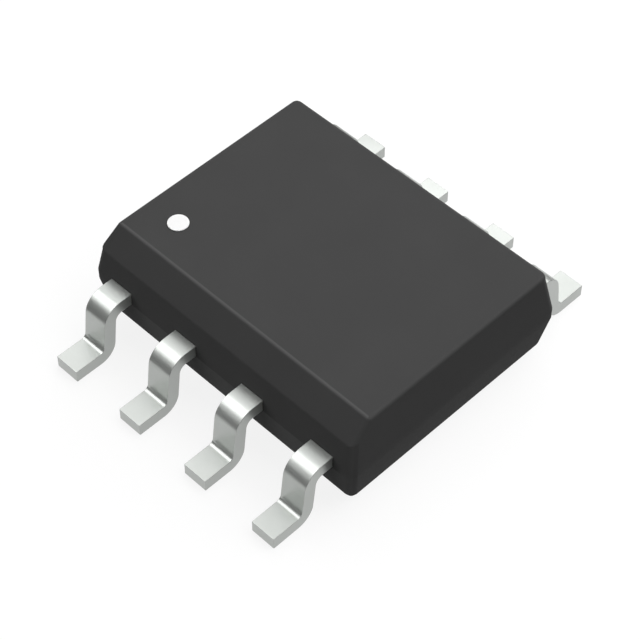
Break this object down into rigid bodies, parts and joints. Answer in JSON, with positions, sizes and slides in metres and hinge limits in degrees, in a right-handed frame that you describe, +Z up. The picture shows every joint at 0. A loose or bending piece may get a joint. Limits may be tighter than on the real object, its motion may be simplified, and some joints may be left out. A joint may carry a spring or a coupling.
{
  "type": "power switch chip",
  "caption": "Surface-mount power switch chip: black moulded body with drafted sides, a long bevel and a printed corner mark, carried on rows of tinned gull-wing leads.",
  "frame": {"origin": "middle of the footprint, on the board that the lead feet stand on", "axes": "+X along the lead rows from pin 1 to pin 4, +Y across from pins 1-4 to pins 5-8, +Z up"},
  "size_m": [0.005, 0.006, 0.0016],
  "materials": {
    "mould_compound": "fine-grained moulded epoxy with a soft sheen",
    "tinned_lead": "matte tin plate",
    "lead_frame_copper": "bare copper alloy sheet",
    "die_adhesive": "silver-filled epoxy",
    "silicon": "polished",
    "bond_wire": "bright drawn wire",
    "marking_ink": "flat white ink"
  },
  "bodies": {
    "root": {"mould_body": "mould_compound", "die_pad": "lead_frame_copper", "die_attach": "die_adhesive", "silicon_die": "silicon", "pin1_dot": "marking_ink", "lead_1": "tinned_lead", "lead_2": "tinned_lead", "lead_3": "tinned_lead", "lead_4": "tinned_lead", "lead_5": "tinned_lead", "lead_6": "tinned_lead", "lead_7": "tinned_lead", "lead_8": "tinned_lead", "bond_wire_1": "bond_wire", "bond_wire_2": "bond_wire", "bond_wire_3": "bond_wire", "bond_wire_4": "bond_wire", "bond_wire_5": "bond_wire", "bond_wire_6": "bond_wire", "bond_wire_7": "bond_wire", "bond_wire_8": "bond_wire"}
  },
  "joints": []
}
